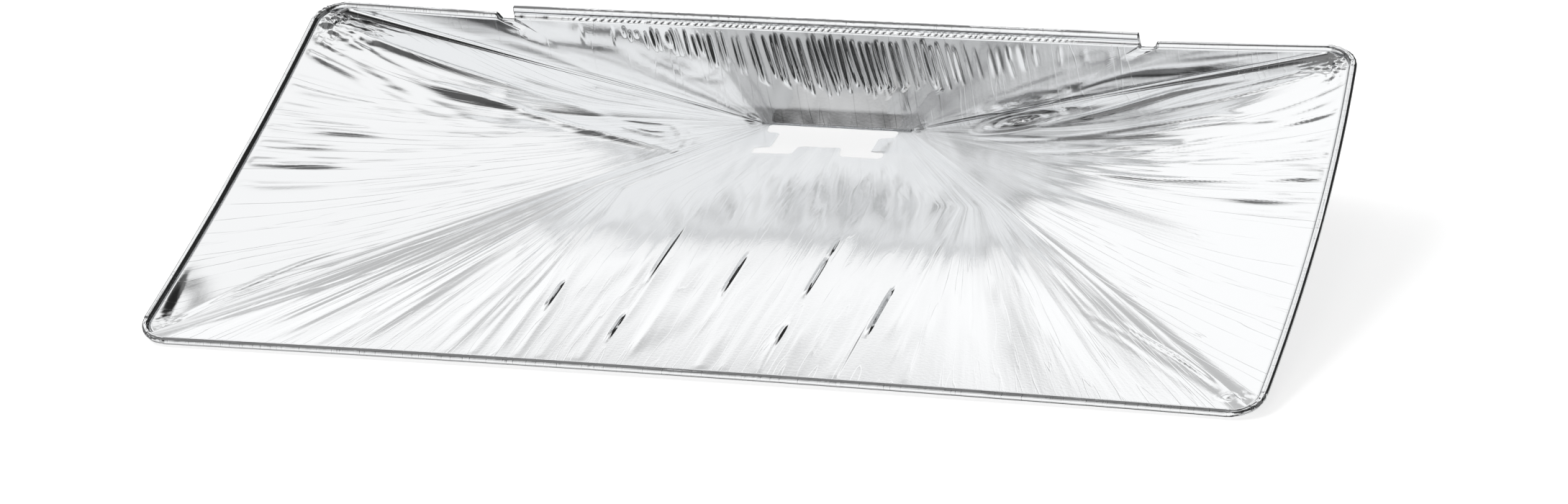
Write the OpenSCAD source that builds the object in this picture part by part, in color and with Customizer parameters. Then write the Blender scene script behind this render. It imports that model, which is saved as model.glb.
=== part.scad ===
// Foil drip tray liner.
// One sheet of aluminium foil, pressed into four slopes that fall to a short valley near the rear
// edge, with a drain outlet cut beside the valley. The edge of the sheet is rolled into a bead all
// round. The middle of the rear bead stands up on a short neck, between two notches.
// The sheet is worked out in the tray's frame, with its rim level, and is then tipped forward to
// the way it lies on a table: on its front rim and its valley.

/* [Sheet] */
// Width over the rolled rim, measured at the corners
liner_w = 640; // [600:5:700]
// Depth, front to back, over the rolled rim
liner_d = 320; // [300:5:350]
// Drop from the middle of the rolled rim to the valley
pan_depth = 72; // [60:1:84]
// Thickness of the foil
foil_t = 0.1; // [0.06:0.01:0.16]
// Radius of the rim's corners, on the outside
corner_r = 19; // [15:1:24]

/* [Valley] */
// Length of the valley, where the front slope meets the rear wall
valley_len = 91; // [84:1:110]
// Distance of the valley from the rear edge of the rim, seen from above
valley_setback = 7; // [5:0.5:12]

/* [Rim] */
// Diameter of the rolled bead
roll_d = 4.8; // [4:0.2:6]
// How far round the bead is rolled, in degrees
roll_turn = 300; // [240:5:310]
// How far the middle of the front edge is pushed in
bow_front = 2.8; // [0:0.2:5]
// How far the rear edge is pushed in, beside its notches
bow_rear = 6.6; // [3:0.2:8]
// How far the middle of the left edge is pushed in
bow_left = 3.3; // [0:0.1:6]
// How far the middle of the right edge bulges out
bulge_right = 4.7; // [0:0.1:6]
// Height of the crimps in the bead round a corner
corner_crimp = 0.3; // [0:0.05:0.5]

/* [Raised rear bead] */
// Length of the raised bead to the left of the middle
raised_left = 192; // [170:1:210]
// Length of the raised bead to the right of the middle
raised_right = 191; // [170:1:210]
// Height of the neck that lifts the bead
neck_h = 4.8; // [3:0.2:6]
// Distance of the raised bead's middle from the rear edge's outermost line
raised_inset = 5; // [4:0.5:7]
// Width of the notch at each end of the raised bead
notch_w = 8.5; // [6:0.5:12]
// How far the sheet is pressed down in a notch
notch_drop = 3.5; // [2:0.5:5]

/* [Drain outlet] */
// Width of the outlet
outlet_w = 81; // [76:1:83]
// Length of the outlet, front to back
outlet_len = 39.5; // [36:0.5:44]
// Strip of foil left between the outlet and the valley
outlet_margin = 1; // [0.6:0.1:2]
// How far the outlet's middle lies to the left of the liner's
outlet_shift = 1.5; // [0:0.1:3]
// Radius of the outlet's corners
outlet_r = 2.5; // [1.5:0.1:3]
// Distance of the side tabs from the outlet's rear edge
side_tab_start = 11; // [9:0.5:12]
// Width of a side tab, front to back
side_tab_w = 20; // [18:0.5:22]
// How far a side tab reaches into the outlet
side_tab_reach = 8.5; // [6:0.5:11]
// Width of the front tab
front_tab_w = 28; // [20:1:36]
// How far the front tab reaches into the outlet
front_tab_reach = 11.5; // [8:0.5:13]
// How much the front tab narrows on each side towards its tip
front_tab_taper = 1.5; // [0.5:0.5:3]

/* [Ribs] */
// Distance between the pressed ribs in the front slope
rib_pitch = 47; // [40:1:52]
// How far the middle rib lies to the left of the liner's middle
rib_shift = 3.3; // [0:0.1:6]
// Width of a rib at its foot
rib_w = 4; // [2.5:0.5:6]
// Height of a rib
rib_h = 1.6; // [0.6:0.1:2.4]

/* [Wrinkles] */
// Half the width of the gathered part of the rear wall
gather_half = 130; // [110:5:150]
// Depth of the upright pleats in the rear wall
pleat_depth = 1.5; // [0:0.1:2]
// Height of the soft wrinkles that fan over the slopes
wrinkle_h = 1.1; // [0:0.1:1.6]

/* [Hidden] */

roll_r = roll_d / 2;
rim_x = liner_w / 2 - roll_r;
rim_y = liner_d / 2 - roll_r;
bend_r = corner_r - roll_r;
straight_x = rim_x - bend_r;
straight_y = rim_y - bend_r;
half_valley = valley_len / 2;
valley_y = liner_d / 2 - valley_setback;

// Where the sheet runs into the bead: degrees round the bead's section, from straight out
roll_start = 190;
roll_steps = 7;
// Fractions of the way from the valley to the rim at which the sheet's rings lie
levels = [0.3, 0.44, 0.55, 0.69, 0.745, 0.8, 0.89, 1];
// Half the width over which the front slope's rays run straight from back to front
rib_zone = 2 * rib_pitch + rib_shift + rib_w;
// Share of a slope's half width that such a zone may fill near the valley
zone_share = 0.78;
// The ribs: how many pitches from the middle one, and the levels between which each stands
ribs = [
    [-2, 0.66, 0.82], [-1, 0.42, 0.71], [-1, 0.78, 0.91], [0, 0.53, 0.71],
    [1, 0.42, 0.71], [1, 0.78, 0.91], [2, 0.66, 0.82]
];

function mix(a, b, s) = a + (b - a) * s;
function noise(n) = let (v = sin(n * 78.233) * 437.58) v - floor(v);
function spread(from, to, count) = [for (k = [0 : count - 1]) mix(from, to, k / count)];
function unit(v) = v / norm(v);

// A ray is a line on the sheet from the valley to the rim. It is held as the bead's centre where
// the ray meets it: x, y, the outward direction seen from above, the lift and the bead's radius.
function corner_ray(sx, sy, turn) = [
    sx * straight_x + bend_r * cos(turn), sy * straight_y + bend_r * sin(turn),
    cos(turn), sin(turn), 0, roll_r + corner_crimp * (turn / 15 % 2 == 0 ? -1 : 0)
];
function bow(u, half, depth) = depth * (1 - pow(u / half, 2));
function front_ray(x) = [x, -rim_y + bow(x, straight_x, bow_front), 0, -1, 0, roll_r];
function left_ray(y) = [-rim_x + bow(y, straight_y, bow_left), y, -1, 0, 0, roll_r];
function right_ray(y) = [rim_x + bow(y, straight_y, bulge_right), y, 1, 0, 0, roll_r];
function in_notch(x) = x < -raised_left && x > -raised_left - notch_w
    || x > raised_right && x < raised_right + notch_w;
function rear_ray(x) =
    let (raised = x >= -raised_left && x <= raised_right, notch = in_notch(x))
    [
        x, raised || notch ? liner_d / 2 - raised_inset : rim_y - bow(x, straight_x, bow_rear),
        0, 1, raised ? neck_h : notch ? -notch_drop : 0, notch ? roll_r / 2 : roll_r
    ];

function rib_x(k) = k * rib_pitch - rib_shift;
rib_gap = (rib_pitch - rib_w) / 4;
outer_front = straight_x - rib_x(2) - rib_w / 2;
front_x = concat(
    spread(-straight_x, rib_x(-2) - rib_w / 2, 9),
    [for (k = [-2 : 2], side = [0 : 5]) rib_x(k) + (side < 3 ? (side - 1) * rib_w / 2
        : rib_w / 2 + (side - 2) * rib_gap)],
    [for (k = [2 : 9]) rib_x(2) + rib_w / 2 + outer_front * k / 10],
    [straight_x]
);
// Positions along the rear edge, from right to left
rear_x = concat(
    spread(straight_x, raised_right + notch_w, 6),
    [raised_right + notch_w, raised_right + notch_w / 2, raised_right],
    spread(raised_right - 4, gather_half, 3),
    spread(gather_half, -gather_half, 50),
    spread(-gather_half, -raised_left + 4, 3),
    [-raised_left + 4, -raised_left, -raised_left - notch_w / 2],
    spread(-raised_left - notch_w, -straight_x, 6),
    [-straight_x]
);
side_y = spread(-straight_y, straight_y, 20);

front_rays = concat(
    [for (turn = [225 : 15 : 255]) corner_ray(-1, -1, turn)],
    [for (x = front_x) front_ray(x)],
    [for (turn = [285 : 15 : 300]) corner_ray(1, -1, turn)]
);
right_rays = concat(
    [for (turn = [315 : 15 : 345]) corner_ray(1, -1, turn)],
    [for (y = side_y) right_ray(y)],
    [right_ray(straight_y)],
    [for (turn = [15 : 15 : 30]) corner_ray(1, 1, turn)]
);
rear_rays = concat(
    [for (turn = [45 : 15 : 75]) corner_ray(1, 1, turn)],
    [for (x = rear_x) rear_ray(x)],
    [for (turn = [105 : 15 : 120]) corner_ray(-1, 1, turn)]
);
left_rays = concat(
    [for (turn = [135 : 15 : 165]) corner_ray(-1, 1, turn)],
    [for (y = side_y) left_ray(-y)],
    [left_ray(-straight_y)],
    [for (turn = [195 : 15 : 210]) corner_ray(-1, -1, turn)]
);
rays = concat(front_rays, right_rays, rear_rays, left_rays);
ray_count = len(rays);
right_start = len(front_rays);
rear_start = right_start + len(right_rays);
left_start = rear_start + len(rear_rays);

// A point of the bead's section, at an angle round it
function bead_point(ray, angle, r) = [
    ray[0] + ray[2] * r * cos(angle), ray[1] + ray[3] * r * cos(angle), ray[4] + r * sin(angle)
];
function edge_point(ray) = bead_point(ray, roll_start, ray[5]);
crease_x = abs(edge_point(rays[0])[0]);

// Rays spread out near the valley, and run straight inside a zone farther on
function squeeze(x, zone, half) =
    let (core = min(zone, zone_share * half))
    abs(x) <= zone ? x * core / zone
        : sign(x) * mix(core, half, (abs(x) - zone) / (crease_x - zone));

function rib_lift(x, s) = max([
    for (rib = ribs) abs(x - rib_x(rib[0])) < rib_w / 4 && s > rib[1] && s < rib[2] ? rib_h : 0
]);
// Wrinkles fade out at the valley, at the rim and at the creases
function fade(s) = sin(180 * pow(s, 1.2));
function soft_wrinkle(i, s) = wrinkle_h * fade(s) * (0.2 + noise(i * 3.7));
// The rear wall's pleats start at the first ring, above a plain band, and end under the bead
function gather(s) = sin(180 * (s - levels[0]) / (1 - levels[0]));
function pleat(i, x, s) =
    abs(x) > gather_half ? 0.2 * pleat_depth * fade(s) * (noise(i) - 0.5)
        : pleat_depth * gather(s) * (i % 2 == 0 ? 1 : -1) * (0.3 + 0.7 * noise(i * 1.7));

function on_crease(i) = i == 0 || i == right_start || i == rear_start || i == left_start;
function pan_point(i, s) =
    let (
        ray = rays[i], edge = edge_point(ray), half = mix(half_valley, crease_x, s),
        y = mix(valley_y, edge[1], s), z = mix(-pan_depth, edge[2], s)
    )
    on_crease(i) ? [sign(edge[0]) * half, y, z]
        : i < right_start ? let (x = squeeze(edge[0], rib_zone, half)) [
            x, y, z + rib_lift(edge[0], s) + 0.5 * soft_wrinkle(i, s)]
        : i < rear_start ? [mix(half_valley, edge[0], s), y, z + soft_wrinkle(i, s)]
        : i < left_start ? [
            squeeze(edge[0], gather_half, half), y + pleat(i, edge[0], s), z]
        : [mix(-half_valley, edge[0], s), y, z + soft_wrinkle(i, s)];

pan_rings = [for (s = levels) [for (i = [0 : ray_count - 1]) pan_point(i, s)]];
bead_rings = [
    for (k = [1 : roll_steps])
        [for (ray = rays) bead_point(ray, roll_start - roll_turn * k / roll_steps, ray[5])]
];
rings = concat(pan_rings, bead_rings);
ring_count = len(rings);

// The outlet, as its right half from the rear edge round to the middle of the front tab
outlet_half = outlet_w / 2;
outlet_back = valley_y - outlet_margin;
outlet_front = outlet_back - outlet_len;
tab_back = outlet_back - side_tab_start;
tab_front = tab_back - side_tab_w;
tab_x = outlet_half - side_tab_reach;
front_tab_y = outlet_front + front_tab_reach;
front_tab_tip = front_tab_w / 2 - front_tab_taper;
cut_r = outlet_r * 0.3;
outlet_side = [
    [outlet_half - outlet_r, outlet_back], [outlet_half - cut_r, outlet_back - cut_r],
    [outlet_half, outlet_back - outlet_r], [outlet_half, tab_back + outlet_r],
    [outlet_half - cut_r, tab_back + cut_r], [outlet_half - outlet_r, tab_back],
    [tab_x + outlet_r, tab_back - cut_r], [tab_x, tab_back - outlet_r],
    [tab_x, mix(tab_back, tab_front, 0.5)], [tab_x, tab_front + outlet_r],
    [tab_x + outlet_r, tab_front + cut_r], [outlet_half - outlet_r, tab_front],
    [outlet_half - cut_r, tab_front - cut_r], [outlet_half, tab_front - outlet_r],
    [outlet_half, outlet_front + outlet_r]
];
outlet_front_side = [
    [outlet_half - cut_r, outlet_front + cut_r], [outlet_half - outlet_r, outlet_front],
    [front_tab_w / 2 + outlet_r, outlet_front], [front_tab_w / 2 + cut_r, outlet_front + cut_r],
    [front_tab_w / 2, outlet_front + outlet_r], [front_tab_tip, front_tab_y - outlet_r],
    [front_tab_tip - cut_r, front_tab_y - cut_r], [front_tab_tip - outlet_r, front_tab_y]
];

// The collar is a plain band of the front slope round the outlet
collar_gap = 9;
collar_flare = 0.1;
collar_front = outlet_front - collar_gap;
function front_z(y) = mix(-pan_depth, edge_point(front_ray(0))[2], (valley_y - y)
    / (valley_y - edge_point(front_ray(0))[1]));
function collar_side(p) = let (y = min(p[1], valley_y)) [
    half_valley + collar_flare * (valley_y - y), y];
function collar_ahead(p) = [p[0] * half_valley / outlet_half, collar_front];
collar_right = concat(
    [[half_valley, valley_y]],
    [for (k = [1 : len(outlet_side) - 1]) collar_side(outlet_side[k])],
    [for (p = outlet_front_side) collar_ahead(p)]
);
outlet_right = concat(outlet_side, outlet_front_side);
half_count = len(outlet_right);

// A loop round the outlet: the left half, the front tab, the right half, then the rear edge
function whole_loop(half, rear_y) = concat(
    [for (k = [0 : half_count - 1]) [-half[k][0], half[k][1]]],
    [for (k = [half_count - 1 : -1 : 0]) half[k]],
    [for (k = [1 : 7]) [mix(half[0][0], -half[0][0], k / 8), rear_y]]
);
function shifted(p) = [p[0] - outlet_shift, p[1], front_z(p[1])];
outlet_loop = [for (p = whole_loop(outlet_right, outlet_back)) shifted(p)];
collar_loop = [for (p = whole_loop(collar_right, valley_y)) [p[0], p[1], front_z(p[1])]];
loop_count = len(outlet_loop);
loop_front = 2 * half_count - 1;

// Upward directions of the plain slopes, for the sheet's thickness near the outlet
slope_up = unit([0, (front_z(valley_y) - front_z(0)) / -valley_y, 1]);
wall_up = unit([0, -1, 0.1]);
function loop_up(k, inner) = inner || k > 0 && k < loop_front ? slope_up : unit(slope_up + wall_up);

// Direction square to the sheet at a ring's point, from its neighbours
function sheet_up(j, i) =
    let (
        around = rings[j][(i + 1) % ray_count] - rings[j][(i + ray_count - 1) % ray_count],
        outward = rings[min(j + 1, ring_count - 1)][i] - rings[max(j - 1, 0)][i]
    )
    unit(cross(outward, around));

top_points = concat(
    outlet_loop,
    collar_loop,
    [for (j = [0 : ring_count - 1]) for (i = [0 : ray_count - 1]) rings[j][i]]
);
under_points = concat(
    [for (k = [0 : loop_count - 1]) outlet_loop[k] - foil_t * loop_up(k, true)],
    [for (k = [0 : loop_count - 1]) collar_loop[k] - foil_t * loop_up(k, false)],
    [for (j = [0 : ring_count - 1]) for (i = [0 : ray_count - 1])
        rings[j][i] - foil_t * sheet_up(j, i)]
);
layer_size = len(top_points);

function loop_id(ring, k) = ring * loop_count + k % loop_count;
function ring_id(j, i) = 2 * loop_count + j * ray_count + i % ray_count;

// Two triangles between neighbours on two rows of points
function cell(a, b, c, d) = [[a, b, c], [a, c, d]];
// Triangles that join two rows with different numbers of points
function zip_rows(a, b, i = 0, j = 0) =
    let (last_a = len(a) - 1, last_b = len(b) - 1)
    i == last_a && j == last_b ? []
        : j == last_b || i < last_a && (i + 1) / last_a < (j + 1) / last_b
            ? concat([[a[i], a[i + 1], b[j]]], zip_rows(a, b, i + 1, j))
            : concat([[a[i], b[j + 1], b[j]]], zip_rows(a, b, i, j + 1));
function ring_row(from, to) = [for (i = [from : to]) ring_id(0, i)];
function loop_row(from, to) = [for (k = [from : to]) loop_id(1, k)];

sheet_faces = concat(
    [for (k = [0 : loop_count - 1])
        each cell(loop_id(0, k), loop_id(0, k + 1), loop_id(1, k + 1), loop_id(1, k))],
    zip_rows(loop_row(0, loop_front), ring_row(0, right_start)),
    zip_rows(loop_row(loop_front, loop_front), ring_row(right_start, rear_start)),
    zip_rows(loop_row(loop_front, loop_count), ring_row(rear_start, left_start)),
    zip_rows(loop_row(0, 0), ring_row(left_start, ray_count)),
    [for (j = [0 : ring_count - 2]) for (i = [0 : ray_count - 1])
        each cell(ring_id(j, i), ring_id(j, i + 1), ring_id(j + 1, i + 1), ring_id(j + 1, i))]
);
// The cut edges of the sheet: round the outlet, and along the inside of the bead
cut_faces = concat(
    [for (k = [0 : loop_count - 1])
        each cell(loop_id(0, k + 1), loop_id(0, k), layer_size + loop_id(0, k),
            layer_size + loop_id(0, k + 1))],
    [for (i = [0 : ray_count - 1])
        let (j = ring_count - 1)
        each cell(ring_id(j, i), ring_id(j, i + 1), layer_size + ring_id(j, i + 1),
            layer_size + ring_id(j, i))]
);

// How far the liner tips forward to lie on its front rim and its valley
valley_run = valley_y + rim_y;
tip = atan2(pan_depth, valley_run) - asin((roll_r - foil_t) / norm([pan_depth, valley_run]));
function tipped(p) = [
    p[0], p[1] * cos(tip) - p[2] * sin(tip), p[1] * sin(tip) + p[2] * cos(tip)
];
all_points = [for (p = concat(top_points, under_points)) tipped(p)];
floor_z = min([for (p = all_points) p[2]]);
mid_y = (min([for (p = all_points) p[1]]) + max([for (p = all_points) p[1]])) / 2;
mid_x = (min([for (p = all_points) p[0]]) + max([for (p = all_points) p[0]])) / 2;

module foil_liner() {
    color([0.86, 0.87, 0.88])
    translate([-mid_x, -mid_y, -floor_z])
    polyhedron(
        points = all_points,
        faces = concat(
            sheet_faces,
            cut_faces,
            [for (f = sheet_faces) [layer_size + f[0], layer_size + f[2], layer_size + f[1]]]
        ),
        convexity = 6
    );
}

foil_liner();
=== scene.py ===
# %% [markdown]
# # A foil drip tray liner
# The real liner is one sheet of thin aluminium foil. A press forms three shallow slopes and a
# steep rear wall round a short valley, an outlet is cut beside the valley, and the edge of the
# sheet is rolled into a bead. What the eye sees is the foil's wrinkles: a plain sheet would
# only mirror the room. So this lesson spends its effort on the folds, and on a room worth
# mirroring.
#
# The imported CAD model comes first. It fixes the size and the place of everything below.

# %% Load the frame
import math

import bmesh
import bpy
import numpy as np
from mathutils import Matrix, Vector


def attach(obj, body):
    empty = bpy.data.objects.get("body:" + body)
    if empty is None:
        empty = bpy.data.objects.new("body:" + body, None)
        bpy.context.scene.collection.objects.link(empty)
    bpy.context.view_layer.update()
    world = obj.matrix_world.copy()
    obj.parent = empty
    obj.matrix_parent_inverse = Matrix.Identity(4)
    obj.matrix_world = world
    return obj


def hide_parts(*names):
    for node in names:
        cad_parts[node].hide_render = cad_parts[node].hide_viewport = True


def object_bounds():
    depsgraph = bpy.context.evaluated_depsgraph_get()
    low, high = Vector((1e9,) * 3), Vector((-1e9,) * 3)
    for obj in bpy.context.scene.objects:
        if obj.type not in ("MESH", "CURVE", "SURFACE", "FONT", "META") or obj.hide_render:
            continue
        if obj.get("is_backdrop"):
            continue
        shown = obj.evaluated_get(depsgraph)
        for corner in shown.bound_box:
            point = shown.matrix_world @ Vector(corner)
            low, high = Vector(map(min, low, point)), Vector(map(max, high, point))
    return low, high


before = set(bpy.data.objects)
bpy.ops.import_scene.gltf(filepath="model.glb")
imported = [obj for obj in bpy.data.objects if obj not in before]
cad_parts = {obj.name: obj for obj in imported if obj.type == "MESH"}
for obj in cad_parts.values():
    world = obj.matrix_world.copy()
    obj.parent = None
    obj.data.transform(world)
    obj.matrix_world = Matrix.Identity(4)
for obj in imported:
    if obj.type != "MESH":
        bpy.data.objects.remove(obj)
cad_low, cad_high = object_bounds()
print("CAD box in mm:", [round(1000 * v, 1) for v in (*cad_low, *cad_high)])

# %% [markdown]
# ## The sizes
# The sizes that the looks depend on are repeated here from the part's source, in millimetres and
# under the same names. The sheet is worked out with its rim level, then tipped forward onto its
# front rim and its valley, as it lies on a table.

# %% Sizes of the liner, in millimetres
PAN_DEPTH, FOIL_T = 72.0, 0.1
HALF_VALLEY, VALLEY_Y = 45.5, 153.0
ROLL_R, BEND_R = 2.4, 16.6
RIM_X, RIM_Y = 317.6, 157.6
STRAIGHT_X, STRAIGHT_Y = 301.0, 141.0
BOW_FRONT, BOW_REAR, BOW_LEFT, BULGE_RIGHT = 2.8, 6.6, 3.3, 4.7
RAISED_LEFT, RAISED_RIGHT, RAISED_Y, NECK_H = 192.0, 191.0, 155.0, 4.8
NOTCH_W, NOTCH_DROP = 8.5, 3.5
# Where the five rows of ribs stand, from left to right
RIB_X = [-97.3, -50.3, -3.3, 43.7, 90.7]
# The tip onto the table, and the point of the tipped tray that becomes the origin
TIP = math.radians(12.6379)
SHIFT = np.array([2.35, 4.47579, -36.8711])


# %% Tip the sheet onto the table
def on_table(points):
    """Points of the level tray, in millimetres, as they lie on the table, in metres."""
    x, y, z = np.asarray(points, float).T
    back = y * math.cos(TIP) - z * math.sin(TIP)
    up = y * math.sin(TIP) + z * math.cos(TIP)
    return (np.stack([x, back, up], axis=1) - SHIFT) / 1000


print("Valley on the table, mm:", (1000 * on_table([[0, VALLEY_Y, -PAN_DEPTH]])).round(2))

# %% [markdown]
# ## Small helpers for meshes and objects
# Every piece goes the same way: operators shape a bmesh, the bmesh becomes a mesh, its vertices
# move to their places, and an object puts it in the scene.


# %% Mesh and object helpers
def to_mesh(shape, name):
    """A mesh made from a bmesh, which is then given up."""
    mesh = bpy.data.meshes.new(name)
    shape.to_mesh(mesh)
    shape.free()
    return mesh


def places_of(mesh):
    """The places of a mesh's vertices, one in each row."""
    places = np.empty(len(mesh.vertices) * 3)
    mesh.vertices.foreach_get("co", places)
    return places.reshape(-1, 3)


def add_object(name, data):
    """A new object in the scene, at the origin."""
    made = bpy.data.objects.new(name, data)
    bpy.context.scene.collection.objects.link(made)
    return made


# %% [markdown]
# ## The camera
# The photograph was taken from the right and a little above, with a long lens that leans to one
# side. Its place was found by fitting the outline of the rim, so the same numbers are set here:
# a direction, a distance, and a roll about the line of sight.


# %% Set the camera
def camera_turn(azimuth, elevation, roll):
    """The camera's right, up and back directions as a matrix."""
    a, e, r = (math.radians(v) for v in (azimuth, elevation, roll))
    back = Vector((math.sin(a) * math.cos(e), -math.cos(a) * math.cos(e), math.sin(e)))
    level = Vector((math.cos(a), math.sin(a), 0))
    upright = back.cross(level)
    right = level * math.cos(r) + upright * math.sin(r)
    return Matrix((right, back.cross(right), back)).transposed()


# Degrees round the table to the right, degrees above it and degrees of roll. Then the point
# that the camera looks at and its distance, in metres, and the lens in millimetres.
DIRECTION = (18.69, 26.42, -5.16)
AIM, DISTANCE = Vector((0.0320, -0.06086, 0.0300)), 2.4768
LENS, SENSOR = 103.06, 36.0

camera_data = bpy.data.cameras.new("studio_camera")
camera = add_object("studio_camera", camera_data)
camera_data.lens, camera_data.sensor_width, camera_data.sensor_fit = LENS, SENSOR, "HORIZONTAL"
camera_data.clip_start, camera_data.clip_end = 0.05, 50.0
turn = camera_turn(*DIRECTION)
camera.matrix_world = Matrix.Translation(AIM + turn.col[2] * DISTANCE) @ turn.to_4x4()
bpy.context.scene.camera = camera
print("Camera stands at", [round(v, 3) for v in camera.matrix_world.translation])

# %% [markdown]
# ## Small helpers for materials
# Colours are chosen as they look on a screen, as sRGB hex values. Blender works in linear
# light, so one function turns them. Another adds a node with its settings and links, which
# keeps each material short enough to read.


# %% Colour and node helpers
def linear(hex_colour):
    """An sRGB hex colour as the linear colour that Blender works with."""
    parts = [int(hex_colour[i : i + 2], 16) / 255 for i in (1, 3, 5)]
    return (*[v / 12.92 if v <= 0.04045 else ((v + 0.055) / 1.055) ** 2.4 for v in parts], 1)


def node(tree, kind, inputs=None, **settings):
    """A new node, with its settings, its constant inputs and its links."""
    made = tree.nodes.new(kind)
    for name, value in settings.items():
        setattr(made, name, value)
    for name, value in (inputs or {}).items():
        if isinstance(value, bpy.types.NodeSocket):
            tree.links.new(value, made.inputs[name])
        else:
            made.inputs[name].default_value = value
    return made


print("Mid grey on a screen is", round(linear("#808080")[0], 3), "in linear light")

# %% [markdown]
# ## The foil's finish
# Household and catering foil is nearly pure aluminium, rolled to about a tenth of a millimetre.
# The eye gets a bright, almost colourless mirror that is slightly blurred by the rolls' grain,
# and broken up by tiny dents. Its colour is aluminium's own reflection, its roughness is low,
# and the dents are a bump. The pattern follows the sheet through the UV map, whose unit is one
# centimetre of foil, because the dents stretch along the folds.


# %% Patterns for the foil
def stretched_noise(tree, sheet, across, along):
    """Noise with so many crests to a centimetre across the folds, and along them."""
    turned = node(tree, "ShaderNodeMapping", {"Vector": sheet, "Scale": (across, along, 1)})
    grain = {"Scale": 1.0, "Detail": 2.0, "Roughness": 0.5}
    noise = node(tree, "ShaderNodeTexNoise", {"Vector": turned.outputs["Vector"], **grain})
    return noise.outputs["Fac"]


def thin_lines(tree, noise, width):
    """1 where the noise crosses its middle, and 0 away from there: long thin creases."""
    middle = node(tree, "ShaderNodeMath", {0: noise, 1: 0.5}, operation="SUBTRACT")
    away = node(tree, "ShaderNodeMath", {0: middle.outputs["Value"]}, operation="ABSOLUTE")
    limits = {"Value": away.outputs["Value"], "From Max": width, "To Min": 1.0, "To Max": 0.0}
    return node(tree, "ShaderNodeMapRange", limits).outputs["Result"]


def dented(tree, height, deep, normal=None):
    """A bump of that many millimetres, on top of another one."""
    inputs = {"Height": height, "Strength": 1.0, "Distance": deep / 1000}
    if normal is not None:
        inputs["Normal"] = normal
    return node(tree, "ShaderNodeBump", inputs).outputs["Normal"]


# %% Aluminium foil
# The depth of each kind of dent, in millimetres
CREASE_DEEP, DENT_DEEP, GRAIN_DEEP = 0.05, 0.04, 0.02
# Bare aluminium reflects nearly all light, with hardly a tint. Polished rolls leave foil almost a
# mirror, and their grain blurs it a little.
ALUMINIUM, FOIL_ROUGHNESS = "#F2F3F4", 0.13


def aluminium_foil():
    """Bright foil with long creases, soft dents along the folds, and a fine grain."""
    material = bpy.data.materials.new("aluminium_foil")
    material.use_nodes = True
    tree = material.node_tree
    tree.nodes.clear()
    sheet = node(tree, "ShaderNodeUVMap", uv_map="UVMap").outputs["UV"]
    # Hairline creases about 11 mm apart and 170 mm long, broken up every 14 x 40 mm
    creases = thin_lines(tree, stretched_noise(tree, sheet, 0.9, 0.06), 0.012)
    broken = stretched_noise(tree, sheet, 0.7, 0.25)
    creases = node(tree, "ShaderNodeMath", {0: creases, 1: broken}, operation="MULTIPLY")
    normal = dented(tree, creases.outputs["Value"], CREASE_DEEP)
    # Soft dents of about 3 x 33 mm. The grain is 2 mm, coarser than the real one, so that it shows
    normal = dented(tree, stretched_noise(tree, sheet, 3.0, 0.3), DENT_DEEP, normal)
    normal = dented(tree, stretched_noise(tree, sheet, 5.0, 5.0), GRAIN_DEEP, normal)
    finish = {"Base Color": linear(ALUMINIUM), "Metallic": 1.0, "Roughness": FOIL_ROUGHNESS}
    shader = node(tree, "ShaderNodeBsdfPrincipled", {**finish, "Normal": normal})
    node(tree, "ShaderNodeOutputMaterial", {"Surface": shader.outputs["BSDF"]})
    return material


FOIL = aluminium_foil()
print("Made", FOIL.name, "with", len(FOIL.node_tree.nodes), "nodes")

# %% [markdown]
# ## Walking round the rim
# Every slope ends at the rolled bead, and every wrinkle runs from the valley to it. So the rim
# is walked once, clockwise, and split into stations: a place on the bead's centre line, the
# direction straight out, how far the bead is lifted, and how thick it is. Each slope then hangs
# between its stations and the valley, and all the pieces share the same edges.

# %% The four sides of the rim
# Each side: the way it is walked, the way out, half its straight length, its distance from the
# middle, and how far the middle of the side swells outwards.
SIDES = {
    "front": ((-1, 0), (0, -1), STRAIGHT_X, RIM_Y, -BOW_FRONT),
    "left": ((0, 1), (-1, 0), STRAIGHT_Y, RIM_X, -BOW_LEFT),
    "rear": ((1, 0), (0, 1), STRAIGHT_X, RIM_Y, -BOW_REAR),
    "right": ((0, -1), (1, 0), STRAIGHT_Y, RIM_X, BULGE_RIGHT),
}


def step_up(x, start, width):
    """0 before start, 1 after start + width, and a soft step between them."""
    t = np.clip((x - start) / width, 0, 1)
    return t * t * (3 - 2 * t)


def inside(x, low, high, soft):
    """1 between low and high, falling to 0 over a soft border outside them."""
    return step_up(x, low - soft, soft) * (1 - step_up(x, high, soft))


def raised_share(path):
    """1 on the raised bead and 0 beside it, along the rear side."""
    return inside(path, -RAISED_LEFT, RAISED_RIGHT, 0.8)


def stations(side, count, crowded):
    """Places round one side, closer together where crowded() is high."""
    walk, out, half, distance, swell = SIDES[side]
    walk, out = np.array(walk, float), np.array(out, float)
    arc = BEND_R * math.pi / 4
    path = np.linspace(-half - arc, half + arc, 8001)
    weight = np.concatenate([[0], np.cumsum(crowded(path[:-1]))])
    path = np.interp(np.linspace(0, weight[-1], count + 1), weight, path)
    turn_angle = np.sign(path) * np.maximum(np.abs(path) - half, 0) / BEND_R
    straight = np.clip(path, -half, half)
    facing = np.cos(turn_angle)[:, None] * out + np.sin(turn_angle)[:, None] * walk
    reach = distance - BEND_R + swell * (1 - (straight / half) ** 2)
    lift, radius = np.zeros_like(path), np.full_like(path, ROLL_R)
    if side == "rear":
        raised = raised_share(path)
        notch = inside(path, -RAISED_LEFT - NOTCH_W, RAISED_RIGHT + NOTCH_W, 3.0) - raised
        either = raised + notch
        reach = reach + either * (RAISED_Y - BEND_R - reach)
        lift, radius = raised * NECK_H - notch * NOTCH_DROP, ROLL_R * (1 - 0.5 * notch)
    centre = straight[:, None] * walk + reach[:, None] * out + BEND_R * facing
    return {"path": path, "centre": centre, "out": facing, "lift": lift, "radius": radius}


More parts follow.
